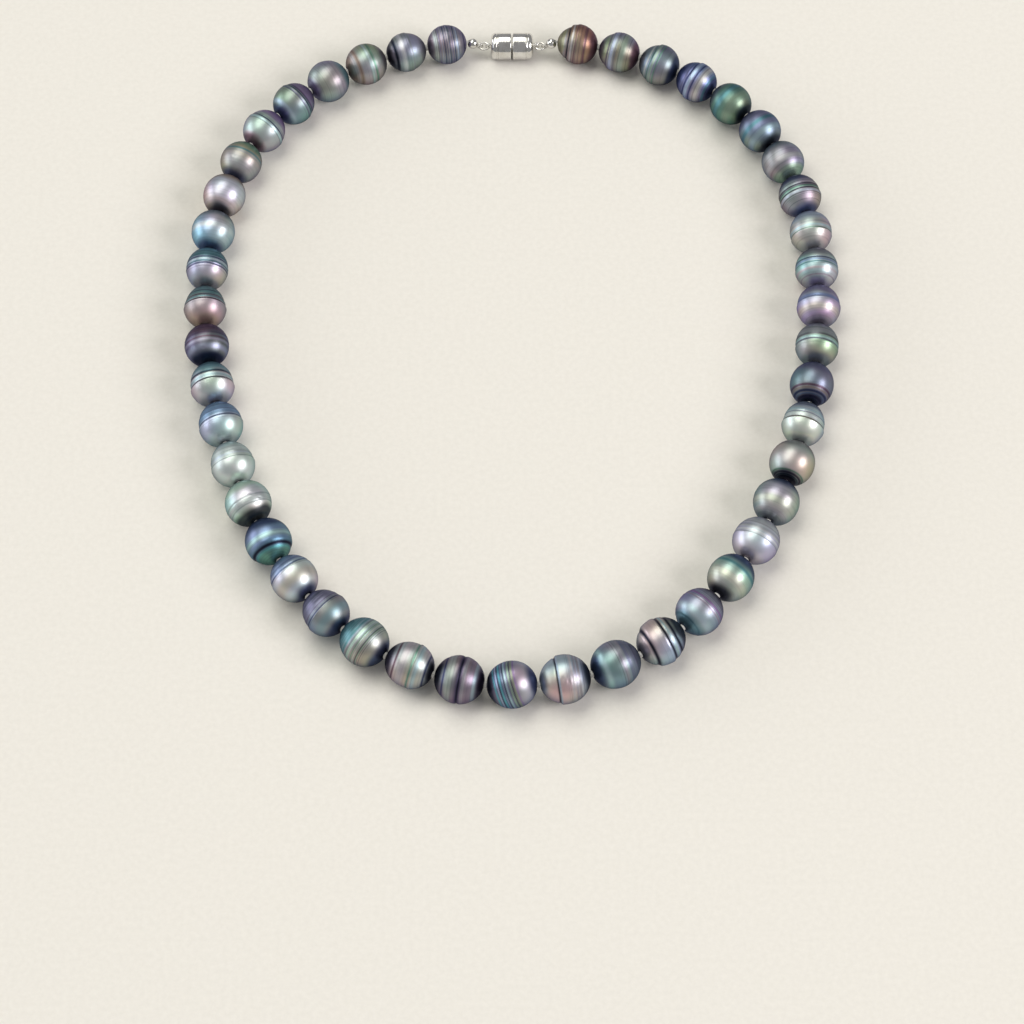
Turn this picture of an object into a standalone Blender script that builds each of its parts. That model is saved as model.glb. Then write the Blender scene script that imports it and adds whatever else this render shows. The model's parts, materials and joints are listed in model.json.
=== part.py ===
"""A knotted strand of dark baroque pearls, closed with a two-part magnetic clasp.

The strand lies on the plane z = 0 in an egg-shaped loop. The front pearl is at -Y and the clasp at +Y.
Each side is a chain: every piece is parented to the one before it, and its origin is on its knot or link.
"""

import math
import random

import bmesh
import bpy
from mathutils import Matrix, Vector

# The strand, in metres
PEARLS_PER_SIDE = 22
FRONT_ACROSS = 0.00967
BACK_ACROSS = 0.00895
GRADING_POWER = 1.3  # above 1, the graduation is slow at the front and quicker towards the clasp
FRONT_LENGTHENING = 1.045  # length along the drill hole over the size across it
BACK_LENGTHENING = 1.0
MATCHING_SPREAD = 0.02  # neighbours differ by up to this share of their size
KNOT_SPACE = 0.0005  # between one pearl and the next
DRILL_RADIUS = 0.0005
THREAD_RADIUS = 0.0002
KNOT_RADIUS = 0.00048
KNOT_HALF_LENGTH = 0.00018

# The loop: x = half_width cos t (1 + EGG sin t + SHOULDER sin^2 t), y = LOOP_ASPECT half_width sin t
LOOP_ASPECT = 1.283
LOOP_EGG = 0.148
LOOP_SHOULDER = 0.134
LOOP_CENTRE_Y = 0.00071  # brings the middle of the strand's outline to Y = 0
SMALLEST_HALF_WIDTH = 0.040
LARGEST_HALF_WIDTH = 0.090
WIDEST_STEP = 0.6  # radians of t that one pitch never exceeds
HALVINGS = 50

# The clasp and its findings, in metres from the last knot of each side
CLASP_SPAN = 0.0199  # from the last knot of one side to that of the other
CLASP_AXIS_HEIGHT = 0.0028
BEAD_TIP_RADIUS = 0.0012
BEAD_TIP_INNER_RADIUS = 0.0009
BEAD_TIP_HOLE_RADIUS = 0.00035
BEAD_TIP_CENTRE = 0.0014
END_KNOT_RADIUS = 0.0006
END_KNOT_HALF_LENGTH = 0.00048
LINK_WIRE_RADIUS = 0.0002
LOOP_RADIUS = 0.00062
LOOP_STAND_OFF = 0.00055  # from a ball's or a cup's surface to the centre of its loop
JUMP_RING_RADIUS = 0.0010
JUMP_RING_WIRE_RADIUS = 0.00022
CUP_RADIUS = 0.0030
CUP_SHOULDER = 0.0011
CUP_SHOULDER_BULGE = 0.3  # share of the shoulder that its middle facet edge stands in from the corner
CUP_EDGE = 0.0002
CUP_GAP = 0.0003
MAGNET_RADIUS = 0.0020
MAGNET_THICKNESS = 0.0014
MAGNET_CLEARANCE = 0.0001

# Facets
PEARL_SEGMENTS = 12
PEARL_BANDS = 8  # even, so that one ring is at the full size across
THREAD_SIDES = 6
BALL_SEGMENTS = 12
BALL_BANDS = 6
CUP_SEGMENTS = 24
LOOP_SEGMENTS = 14
WIRE_SEGMENTS = 8
MAGNET_SEGMENTS = 20

# Material name: base colour, roughness, metallic
MATERIALS = {
    "nacre_silver": ((0.42, 0.38, 0.40), 0.25, 0.3),
    "nacre_peacock": ((0.09, 0.17, 0.16), 0.25, 0.3),
    "nacre_aubergine": ((0.14, 0.11, 0.17), 0.25, 0.3),
    "nacre_pistachio": ((0.25, 0.29, 0.22), 0.25, 0.3),
    "nacre_bronze": ((0.27, 0.20, 0.17), 0.25, 0.3),
    "nacre_navy": ((0.06, 0.08, 0.15), 0.25, 0.3),
    "silk": ((0.62, 0.60, 0.57), 0.80, 0.0),
    "silver": ((0.90, 0.89, 0.87), 0.12, 1.0),
    "magnet": ((0.55, 0.55, 0.56), 0.25, 1.0),
}
TONE_LETTERS = {
    "s": "nacre_silver",
    "p": "nacre_peacock",
    "a": "nacre_aubergine",
    "g": "nacre_pistachio",
    "b": "nacre_bronze",
    "n": "nacre_navy",
}
FRONT_TONE = "n"
# One letter for each pearl, from the front to the clasp
LEFT_TONES = "aspsspggpsnbspbbsgsbsa"
RIGHT_TONES = "spsagspbgngassbpnpngab"
SIDES = {"left": -1, "right": 1}
SIZE_SEEDS = {"left": 11, "right": 23}


def clear_scene():
    for obj in list(bpy.data.objects):
        bpy.data.objects.remove(obj)


def make_materials():
    made = {}
    for name, (colour, roughness, metallic) in MATERIALS.items():
        material = bpy.data.materials.new(name)
        material.use_nodes = True
        shader = material.node_tree.nodes["Principled BSDF"]
        shader.inputs["Base Color"].default_value = (*colour, 1.0)
        shader.inputs["Roughness"].default_value = roughness
        shader.inputs["Metallic"].default_value = metallic
        made[name] = material
    return made


# Sizes and places


def pearl_sizes(side):
    """(across, along) for each pearl of a side from the front. The spread adds nothing to the side's length."""
    chance = random.Random(SIZE_SEEDS[side])
    spreads = [chance.uniform(-MATCHING_SPREAD, MATCHING_SPREAD) for _ in range(PEARLS_PER_SIDE)]
    mean = sum(spreads) / PEARLS_PER_SIDE
    sizes = []
    for place, spread in enumerate(spreads, start=1):
        share = place / PEARLS_PER_SIDE
        across = FRONT_ACROSS - (FRONT_ACROSS - BACK_ACROSS) * share**GRADING_POWER
        lengthening = FRONT_LENGTHENING - (FRONT_LENGTHENING - BACK_LENGTHENING) * share
        varied = across * (1 + spread - mean)
        sizes.append((varied, varied * lengthening))
    return sizes


def loop_point(half_width, t):
    bulge = 1 + LOOP_EGG * math.sin(t) + LOOP_SHOULDER * math.sin(t) ** 2
    return Vector((half_width * math.cos(t) * bulge, half_width * LOOP_ASPECT * math.sin(t), 0))


def last_before(reached, low, high):
    """The largest value from low to high, by halving, at which reached() is still false."""
    for _ in range(HALVINGS):
        middle = (low + high) / 2
        if reached(middle):
            high = middle
        else:
            low = middle
    return low


def knots_of_side(half_width, side):
    """The knots of one side, from the front pearl's to the last: points on the loop, a pearl and a gap apart."""
    front = -math.pi / 2
    half_pitch = (FRONT_ACROSS * FRONT_LENGTHENING + KNOT_SPACE) / 2
    t = last_before(lambda a: loop_point(half_width, a).x > half_pitch, front, front + WIDEST_STEP)
    knots = [loop_point(half_width, t)]
    for _, along in pearl_sizes(side):
        start = knots[-1]
        t = last_before(
            lambda a: (loop_point(half_width, a) - start).length > along + KNOT_SPACE, t, t + WIDEST_STEP
        )
        knots.append(loop_point(half_width, t))
    return [Vector((SIDES[side] * knot.x, knot.y + LOOP_CENTRE_Y, 0)) for knot in knots]


def strand_knots():
    """The knots of both sides, in the loop whose opening at the back is as wide as the clasp needs."""

    def opening(half_width):
        left_end = knots_of_side(half_width, "left")[-1]
        right_end = knots_of_side(half_width, "right")[-1]
        return right_end.x - left_end.x

    half_width = last_before(
        lambda w: opening(w) > CLASP_SPAN, SMALLEST_HALF_WIDTH, LARGEST_HALF_WIDTH
    )
    return {side: knots_of_side(half_width, side) for side in SIDES}


# Meshes


def add_revolved(mesh, profile, segments, axis_height=0.0, closed=True):
    """Turns (along, radius) points about an axis along X. A closed profile makes a tube or a torus, and an
    open one starts and ends on the axis. The first point of each ring is the lowest."""
    rings = []
    for along, radius in profile:
        if radius == 0:
            rings.append([mesh.verts.new((along, 0, axis_height))])
            continue
        ring = []
        for step in range(segments):
            angle = math.tau * step / segments - math.pi / 2
            ring.append(
                mesh.verts.new(
                    (along, radius * math.cos(angle), axis_height + radius * math.sin(angle))
                )
            )
        rings.append(ring)
    pairs = list(zip(rings, rings[1:]))
    if closed:
        pairs.append((rings[-1], rings[0]))
    for one, other in pairs:
        for step in range(segments):
            following = (step + 1) % segments
            corners = [one[step % len(one)], other[step % len(other)]]
            if len(other) > 1:
                corners.append(other[following])
            if len(one) > 1:
                corners.append(one[following])
            mesh.faces.new(corners)
    bmesh.ops.recalc_face_normals(mesh, faces=mesh.faces)


def add_torus(mesh, radius, wire_radius, ring_segments, matrix):
    """A closed ring of round wire about matrix's Z axis."""
    rings = []
    for turn in range(ring_segments):
        around = Matrix.Rotation(math.tau * turn / ring_segments, 4, "Z")
        ring = []
        for step in range(WIRE_SEGMENTS):
            angle = math.tau * step / WIRE_SEGMENTS
            point = Vector((radius + wire_radius * math.cos(angle), 0, wire_radius * math.sin(angle)))
            ring.append(mesh.verts.new(matrix @ around @ point))
        rings.append(ring)
    for turn in range(ring_segments):
        one = rings[turn]
        other = rings[(turn + 1) % ring_segments]
        for step in range(WIRE_SEGMENTS):
            following = (step + 1) % WIRE_SEGMENTS
            mesh.faces.new((one[step], other[step], other[following], one[following]))
    bmesh.ops.recalc_face_normals(mesh, faces=mesh.faces)


def object_from(mesh, name, material, sharp_degrees=35):
    data = bpy.data.meshes.new(name)
    mesh.to_mesh(data)
    mesh.free()
    data.materials.append(material)
    data.shade_smooth()
    data.set_sharp_from_angle(angle=math.radians(sharp_degrees))
    obj = bpy.data.objects.new(name, data)
    bpy.context.scene.collection.objects.link(obj)
    return obj


def pearl_profile(across, along, inner_end):
    """A drilled ellipsoid's outline: from its inner mouth over the outside to the outer mouth."""
    half_along = along / 2
    mouth = math.asin(DRILL_RADIUS / (across / 2))
    profile = []
    for band in range(PEARL_BANDS + 1):
        angle = mouth + (math.pi - 2 * mouth) * band / PEARL_BANDS
        profile.append(
            (inner_end + half_along - half_along * math.cos(angle), across / 2 * math.sin(angle))
        )
    return profile


def make_pearl(name, across, along, inner_end, material):
    """A pearl lying on z = 0, with its drill hole along X."""
    mesh = bmesh.new()
    profile = pearl_profile(across, along, inner_end)
    add_revolved(mesh, profile, PEARL_SEGMENTS, axis_height=across / 2)
    return object_from(mesh, name, material)


def loop_transform(centre_along, height):
    """Places a loop's ring upright, in the plane of its piece's axis."""
    return Matrix.Translation((centre_along, 0, height)) @ Matrix.Rotation(math.pi / 2, 4, "X")


def join_loop(obj, centre_along, height, material):
    """Adds a wire loop to a bead tip or a clasp cup. The helper ring is joined by a Boolean union."""
    mesh = bmesh.new()
    add_torus(mesh, LOOP_RADIUS, LINK_WIRE_RADIUS, LOOP_SEGMENTS, loop_transform(centre_along, height))
    helper = object_from(mesh, obj.name + "_loop", material)
    helper.parent = obj
    helper.hide_render = True
    helper.display_type = "WIRE"
    union = obj.modifiers.new("loop", "BOOLEAN")
    union.operation = "UNION"
    union.object = helper


def make_bead_tip(name, material):
    """A hollow ball that holds the end knot, with a hole for the thread at X = 0 and a loop on its far side."""
    outer_mouth = math.asin(BEAD_TIP_HOLE_RADIUS / BEAD_TIP_RADIUS)
    inner_mouth = math.asin(BEAD_TIP_HOLE_RADIUS / BEAD_TIP_INNER_RADIUS)
    profile = []
    for band in range(BALL_BANDS + 1):
        angle = outer_mouth + (math.pi - outer_mouth) * band / BALL_BANDS
        along = BEAD_TIP_CENTRE - BEAD_TIP_RADIUS * math.cos(angle)
        on_axis = band == BALL_BANDS
        profile.append((along, 0 if on_axis else BEAD_TIP_RADIUS * math.sin(angle)))
    inside = []
    for band in range(BALL_BANDS + 1):
        angle = inner_mouth + (math.pi - inner_mouth) * band / BALL_BANDS
        along = BEAD_TIP_CENTRE - BEAD_TIP_INNER_RADIUS * math.cos(angle)
        on_axis = band == BALL_BANDS
        inside.append((along, 0 if on_axis else BEAD_TIP_INNER_RADIUS * math.sin(angle)))
    mesh = bmesh.new()
    add_revolved(mesh, profile[::-1] + inside, BALL_SEGMENTS, closed=False)
    obj = object_from(mesh, name, material)
    join_loop(obj, BEAD_TIP_CENTRE + BEAD_TIP_RADIUS + LOOP_STAND_OFF, 0, material)
    return obj


def make_jump_ring(name, material):
    """A level ring. Its origin is where it passes through the bead tip's loop."""
    mesh = bmesh.new()
    centre = Matrix.Translation((JUMP_RING_RADIUS, 0, CLASP_AXIS_HEIGHT))
    add_torus(mesh, JUMP_RING_RADIUS, JUMP_RING_WIRE_RADIUS, 2 * LOOP_SEGMENTS, centre)
    return object_from(mesh, name, material)


def make_cup(name, length, material):
    """Half of the clasp: a barrel with a flat underside on z = 0 and a recess for its magnet.
    Its origin is where the jump ring passes through its loop."""
    start = LOOP_STAND_OFF
    end = start + length
    recess_radius = MAGNET_RADIUS + MAGNET_CLEARANCE
    floor = end - MAGNET_THICKNESS - MAGNET_CLEARANCE
    profile = [
        (start, 0),
        (start, CUP_RADIUS - CUP_SHOULDER),
        (start + CUP_SHOULDER_BULGE * CUP_SHOULDER, CUP_RADIUS - CUP_SHOULDER_BULGE * CUP_SHOULDER),
        (start + CUP_SHOULDER, CUP_RADIUS),
        (end - CUP_EDGE, CUP_RADIUS),
        (end, CUP_RADIUS - CUP_EDGE),
        (end, recess_radius),
        (floor, recess_radius),
        (floor, 0),
    ]
    mesh = bmesh.new()
    add_revolved(mesh, profile, CUP_SEGMENTS, axis_height=CLASP_AXIS_HEIGHT, closed=False)
    cut = bmesh.ops.bisect_plane(
        mesh,
        geom=mesh.verts[:] + mesh.edges[:] + mesh.faces[:],
        plane_co=(0, 0, 0),
        plane_no=(0, 0, -1),
        clear_outer=True,
    )
    rim = [item for item in cut["geom_cut"] if isinstance(item, bmesh.types.BMEdge)]
    bmesh.ops.contextual_create(mesh, geom=rim)
    bmesh.ops.recalc_face_normals(mesh, faces=mesh.faces)
    obj = object_from(mesh, name, material)
    join_loop(obj, 0, CLASP_AXIS_HEIGHT, material)
    return obj


def make_magnet(name, cup_length, material):
    mesh = bmesh.new()
    front = LOOP_STAND_OFF + cup_length
    profile = [(front - MAGNET_THICKNESS, 0), (front - MAGNET_THICKNESS, MAGNET_RADIUS)]
    profile += [(front, MAGNET_RADIUS), (front, 0)]
    add_revolved(mesh, profile, MAGNET_SEGMENTS, axis_height=CLASP_AXIS_HEIGHT, closed=False)
    return object_from(mesh, name, material)


def make_thread(route, knots, name, material):
    """One thread through every hole. route is its points in order, and knots maps a place in it to a radius."""
    mesh = bmesh.new()
    rings = []
    for place, point in enumerate(route):
        ahead = route[min(place + 1, len(route) - 1)]
        behind = route[max(place - 1, 0)]
        turn = (ahead - behind).to_track_quat("X", "Z").to_matrix()
        radius = knots.get(place, THREAD_RADIUS)
        ring = []
        for step in range(THREAD_SIDES):
            angle = math.tau * step / THREAD_SIDES
            offset = Vector((0, radius * math.cos(angle), radius * math.sin(angle)))
            ring.append(mesh.verts.new(point + turn @ offset))
        rings.append(ring)
    for one, other in zip(rings, rings[1:]):
        for step in range(THREAD_SIDES):
            following = (step + 1) % THREAD_SIDES
            mesh.faces.new((one[step], other[step], other[following], one[following]))
    mesh.faces.new(rings[0])
    mesh.faces.new(rings[-1])
    bmesh.ops.recalc_face_normals(mesh, faces=mesh.faces)
    return object_from(mesh, name, material)


# Assembly


class Chain:
    """Parents each new piece to the one before it, turned about Z to its own heading."""

    def __init__(self, obj, place):
        self.obj = obj
        self.place = place
        self.heading = 0.0

    def add(self, obj, place, heading):
        obj.parent = self.obj
        obj.location = Matrix.Rotation(-self.heading, 3, "Z") @ (place - self.place)
        obj.rotation_euler.z = heading - self.heading
        self.obj, self.place, self.heading = obj, place, heading


def heading_of(vector):
    return math.atan2(vector.y, vector.x)


def add_pearls(chain, side, tones, knots, materials):
    for number, (across, along) in enumerate(pearl_sizes(side), start=1):
        start, end = knots[number - 1], knots[number]
        material = materials[TONE_LETTERS[tones[number - 1]]]
        name = f"pearl_{side}_{number:02d}"
        pearl = make_pearl(name, across, along, KNOT_SPACE / 2, material)
        chain.add(pearl, start, heading_of(end - start))


def add_findings(chain, side, start, direction, last_hole_height, materials):
    """The bead tip, the jump ring, the clasp cup and its magnet, in a straight line from the last knot."""
    heading = heading_of(direction)
    loop_centre = BEAD_TIP_CENTRE + BEAD_TIP_RADIUS + LOOP_STAND_OFF
    drop = math.asin((last_hole_height - CLASP_AXIS_HEIGHT) / loop_centre)
    level_reach = loop_centre * math.cos(drop)
    tip = make_bead_tip(f"bead_tip_{side}", materials["silver"])
    tip.data.transform(Matrix.Rotation(drop, 4, "Y"))
    tip.data.transform(Matrix.Translation((0, 0, last_hole_height)))
    for helper in tip.children:
        helper.data.transform(Matrix.Rotation(drop, 4, "Y"))
        helper.data.transform(Matrix.Translation((0, 0, last_hole_height)))
    chain.add(tip, start, heading)
    ring_place = start + direction * level_reach
    chain.add(make_jump_ring(f"jump_ring_{side}", materials["silver"]), ring_place, heading)
    cup_place = ring_place + direction * 2 * JUMP_RING_RADIUS
    reach = level_reach + 2 * JUMP_RING_RADIUS
    cup_length = CLASP_SPAN / 2 - CUP_GAP / 2 - reach - LOOP_STAND_OFF
    chain.add(make_cup(f"clasp_cup_{side}", cup_length, materials["silver"]), cup_place, heading)
    magnet = make_magnet(f"magnet_{side}", cup_length, materials["magnet"])
    magnet.parent = chain.obj
    knot_place = start + direction * BEAD_TIP_CENTRE * math.cos(drop)
    knot_height = last_hole_height - BEAD_TIP_CENTRE * math.sin(drop)
    return Vector((knot_place.x, knot_place.y, knot_height))


def thread_route(knots, end_knots):
    """The thread's points from one bead tip to the other, and the radius at each knot."""
    heights = {side: [FRONT_ACROSS / 2] for side in SIDES}
    for side in SIDES:
        heights[side] += [across / 2 for across, _ in pearl_sizes(side)]
    order = []
    for side, numbers in (("left", range(PEARLS_PER_SIDE, -1, -1)), ("right", range(PEARLS_PER_SIDE + 1))):
        for number in numbers:
            here = heights[side][number]
            beyond = heights[side][min(number + 1, PEARLS_PER_SIDE)]
            knot = knots[side][number]
            order.append((Vector((knot.x, knot.y, (here + beyond) / 2)), KNOT_RADIUS))
    left_end, right_end = end_knots["left"], end_knots["right"]
    order = [(left_end, END_KNOT_RADIUS), *order, (right_end, END_KNOT_RADIUS)]
    route = []
    radii = {}
    for place, (point, radius) in enumerate(order):
        behind = order[max(place - 1, 0)][0]
        ahead = order[min(place + 1, len(order) - 1)][0]
        along = (ahead - behind).normalized()
        half_length = KNOT_HALF_LENGTH if radius == KNOT_RADIUS else END_KNOT_HALF_LENGTH
        for step in (-1, 0, 1):
            if step == 0:
                radii[len(route)] = radius
            route.append(point + along * half_length * step)
    return route, radii


def build():
    clear_scene()
    materials = make_materials()
    knots = strand_knots()
    front_along = FRONT_ACROSS * FRONT_LENGTHENING
    front_material = materials[TONE_LETTERS[FRONT_TONE]]
    front = make_pearl("pearl_front", FRONT_ACROSS, front_along, -front_along / 2, front_material)
    front_place = (knots["left"][0] + knots["right"][0]) / 2
    front.location = front_place
    across_clasp = (knots["right"][-1] - knots["left"][-1]).normalized()
    end_knots = {}
    for side, tones in (("left", LEFT_TONES), ("right", RIGHT_TONES)):
        chain = Chain(front, front_place)
        add_pearls(chain, side, tones, knots[side], materials)
        last_hole_height = pearl_sizes(side)[-1][0] / 2
        direction = -SIDES[side] * across_clasp
        end_knots[side] = add_findings(
            chain, side, knots[side][-1], direction, last_hole_height, materials
        )
    route, radii = thread_route(knots, end_knots)
    thread = make_thread(route, radii, "silk_thread", materials["silk"])
    thread.data.transform(Matrix.Translation(-front_place))
    thread.parent = front


build()
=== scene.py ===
"""Looks of the pearl necklace: ringed baroque pearls, silk knots, silver findings and a plain studio.

Every pearl is a fine mesh built around the drill axis that its two knots give. Its ring grooves, steps, pits
and uneven outline are geometry. Its colour zones are a vertex attribute. The fine growth lines, the cloudy
overtones and the gloss come from the nacre material's nodes.
"""

import json
import math
from dataclasses import dataclass

import bmesh
import bpy
import numpy as np
from mathutils import Matrix, Vector


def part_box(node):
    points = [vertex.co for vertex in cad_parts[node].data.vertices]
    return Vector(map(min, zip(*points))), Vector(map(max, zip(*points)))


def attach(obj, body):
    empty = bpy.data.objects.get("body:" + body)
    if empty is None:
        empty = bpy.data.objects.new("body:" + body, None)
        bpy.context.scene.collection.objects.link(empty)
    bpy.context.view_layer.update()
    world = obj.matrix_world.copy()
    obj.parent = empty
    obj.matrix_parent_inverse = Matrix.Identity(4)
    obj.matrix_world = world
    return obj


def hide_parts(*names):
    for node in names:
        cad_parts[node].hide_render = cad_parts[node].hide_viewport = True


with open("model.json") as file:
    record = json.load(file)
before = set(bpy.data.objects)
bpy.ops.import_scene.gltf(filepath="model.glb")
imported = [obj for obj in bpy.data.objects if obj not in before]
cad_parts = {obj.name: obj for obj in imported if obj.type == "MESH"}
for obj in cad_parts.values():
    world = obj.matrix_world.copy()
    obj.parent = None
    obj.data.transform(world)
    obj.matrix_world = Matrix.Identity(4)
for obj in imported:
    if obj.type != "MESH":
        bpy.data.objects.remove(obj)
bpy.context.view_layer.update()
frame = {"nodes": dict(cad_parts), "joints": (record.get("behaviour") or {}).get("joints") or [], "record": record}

# Camera and studio, in metres and degrees
CAMERA_TILT = 32.0  # off the vertical
CAMERA_DISTANCE = 0.743
CAMERA_AIM = Vector((0, -0.0382, 0))
SENSOR_WIDTH = 36.0  # millimetres
FOCAL_LENGTH = 126.6
FLOOR_SIZE = 8.0
# Name, direction, distance, width, height, watts, colour
SOFTBOXES = (
    ("right_softbox", (0.77, -0.30, 0.55), 2.5, 1.50, 1.30, 41.0, (1.0, 0.97, 0.97)),
    ("top_softbox", (-0.31, 0.24, 0.92), 2.75, 3.50, 2.00, 51.0, (1.0, 1.0, 0.90)),
    ("left_window", (-0.97, 0.13, 0.22), 3.25, 3.25, 1.90, 42.0, (0.94, 0.98, 1.0)),
)
SKY_COLOUR = (0.93, 0.93, 0.94, 1.0)
SKY_STRENGTH = 0.34

# Pearls, as unit spheres where metres aren't named. A pace is how fast a field waves over one.
ROWS = 96  # from one mouth of the drill hole to the other
COLUMNS = 72
HOLE_RADIUS = 0.00045  # metres
POLE_DIMPLE = 0.016  # how far the skin round the hole sinks
POLE_DIMPLE_REACH = 0.17
LUMP_SHARE = 0.010
LUMP_PACE = 2.6
OVAL_SHARE = 0.012
RIPPLE_SHARE = 0.0022
RIPPLE_PACE = 26.0
LINES_FADE = 0.1
CALM_BAND = (1.2, 3.0)  # hole radii over which the relief sets in
SHOULDER_SHARE = 0.35  # of a groove's depth, raised on both its sides
SHOULDER_REACH = 2.6  # half widths of the groove
PIT_DEPTH = 0.035
PIT_REACH = 0.06
PIT_RIM_SHARE = 0.4  # of a pit's depth, raised around it
STEP_WIDTH = 0.05
PEARL_SHARP_DEGREES = 60
FIRST_SEED = 100
LINE_SPACING = 7.3  # keeps the growth lines of any two pearls different

# Colour zones of the pearls
PATCH_PACE = 2.4
RING_EDGE = 2.6  # the exponent that gives a ring its edges, sharper above 2
CAP_FADE = 0.20
CAP_EDGE = 0.05
CAP_STRENGTH = 0.92
RAGGED_SHARE = 0.03
RAGGED_PACE = 7.0
# Painted shade of the drill hole: how far its mouth and the hole darken towards ink
MOUTH_PAINTED_SHADE = 0.8
MOUTH_BAND = (0.955, 0.99)  # places between which the painted shade of the drill hole's mouth sets in
BRIGHTEST = 0.96
# How each overtone shifts red, green and blue, and its pace
OVERTONES = ((np.array((0.10, 0.00, -0.11)), 2.6), (np.array((0.05, -0.07, 0.04)), 3.2))

# Nodes of the nacre: noise scales, linear colours, metres
COARSE_LINES = 9.0
FINE_LINES = 34.0
DARK_LINES = ((0.020, 0.024, 0.060), (0.045, 0.020, 0.060))
LIGHT_LINES = ((0.12, 0.30, 0.30), (0.26, 0.22, 0.36))
LIGHT_LINES_SHARE = 0.45
ROSY = (1.12, 0.92, 1.02)
GREENISH = (0.86, 1.08, 0.95)
EDGE_TINT = (0.62, 0.60, 0.80, 1.0)
FILM_INDEX = 1.45
NACRE_RELIEF = 0.00006

# Silk
SILK_RADIUS = 0.00022
SILK_PLIES = 3
SILK_COLUMNS = 24
THREAD_ROWS = 14
KNOT_ROWS = 30
PLY_RELIEF = 0.08
TWIST_PITCH = 0.0016
KNOT_RADIUS = 0.00078
KNOT_HALF_LENGTH = 0.00052
WRAP_PITCH = 0.00034
WRAP_RELIEF = 0.26
END_KNOT_RADIUS = 0.00072
END_KNOT_PLACE = 0.0014  # from the last knot to the middle of the bead tip's ball
SILK_SHARP_DEGREES = 70

# Silver findings
BALL_WALL = 0.0003
BALL_MOUTH = 0.00036
BALL_LIP = 0.00008
SEAM_DEPTH = 0.00005
SEAM_WIDTH = 0.00007
WIRE_RADIUS = 0.0002
WIRE_ROWS = 64
WIRE_COLUMNS = 16
LOOP_RADIUS = 0.00062
LOOP_STAND_OFF = 0.00055  # from a clasp cup's end to the middle of its loop
RING_SLIT = 2.5  # degrees left open where the jump ring's ends meet
CUP_SHOULDER = 0.0011
CUP_LIP = 0.00022
CUP_RECESS_CLEARANCE = 0.0001
GROOVE_DEPTH = 0.00012
GROOVE_WIDTH = 0.00010
MAGNET_CHAMFER = 0.00015
WIRE_SHARP_DEGREES = 40
CLASP_SHARP_DEGREES = 35

PEARLS_PER_SIDE = 22
SIDES = ("left", "right")

# Nacre colours, linear
COLOURS = {
    "white": (0.93, 0.93, 0.92),
    "pale": (0.88, 0.87, 0.89),
    "mint": (0.86, 0.95, 0.87),
    "silver": (0.76, 0.755, 0.76),
    "pewter": (0.61, 0.62, 0.63),
    "ash": (0.48, 0.50, 0.51),
    "graphite": (0.28, 0.28, 0.31),
    "rose": (0.77, 0.69, 0.71),
    "dusk": (0.60, 0.54, 0.55),
    "mauve": (0.51, 0.45, 0.51),
    "lavender": (0.66, 0.67, 0.78),
    "heather": (0.46, 0.47, 0.56),
    "violet": (0.33, 0.31, 0.44),
    "grape": (0.42, 0.25, 0.49),
    "champagne": (0.85, 0.80, 0.69),
    "tan": (0.61, 0.55, 0.47),
    "bronze": (0.50, 0.40, 0.33),
    "rust": (0.48, 0.27, 0.20),
    "maroon": (0.21, 0.11, 0.14),
    "plum": (0.15, 0.12, 0.23),
    "pistachio": (0.77, 0.88, 0.75),
    "sage": (0.56, 0.65, 0.57),
    "moss": (0.48, 0.61, 0.45),
    "olive": (0.43, 0.46, 0.29),
    "green": (0.23, 0.44, 0.34),
    "sea": (0.63, 0.81, 0.82),
    "lagoon": (0.43, 0.59, 0.62),
    "teal": (0.19, 0.39, 0.43),
    "peacock": (0.20, 0.60, 0.62),
    "steel": (0.61, 0.71, 0.83),
    "slate": (0.43, 0.51, 0.62),
    "blue": (0.33, 0.43, 0.64),
    "navy": (0.07, 0.09, 0.20),
    "ink": (0.014, 0.018, 0.035),
}


@dataclass
class Look:
    """One pearl. Places run along the drill axis from -1, nearest the front of the strand, to 1, nearest the
    clasp. The front pearl runs from left to right. Rings, lines, pits, steps and the outer cap have places as
    seen square to a side pearl, and seen_place turns them to where the pearl lies."""

    body: str
    other: str
    # A dark cap is partly the nacre's own colour and partly painted shade and painted reflection of the
    # neighbouring pearl at that end.
    inner: tuple = ("graphite", 0.10)  # colour and reach of the cap at -1
    outer: tuple = ("graphite", 0.10)  # colour and reach of the cap at 1
    rings: tuple = ()  # (colour, place, half width, depth)
    lines: tuple = (-0.8, 0.8, 0.15)  # growth lines: from, to, strength
    slant: float = 0.0  # how far the rings lean, as a share of half the length
    turn: float = 0.0  # degrees about the axis of the lean and of the patches
    pear: float = 0.0  # above 0, the outer half is the slimmer
    pits: tuple = ()  # (place, degrees from straight up)
    steps: tuple = ()  # (place, drop): beyond the place, towards that end, the pearl is slimmer
    shade: float = 1.0  # below 1 the whole pearl is darker, and above 1 it is lighter


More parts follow.
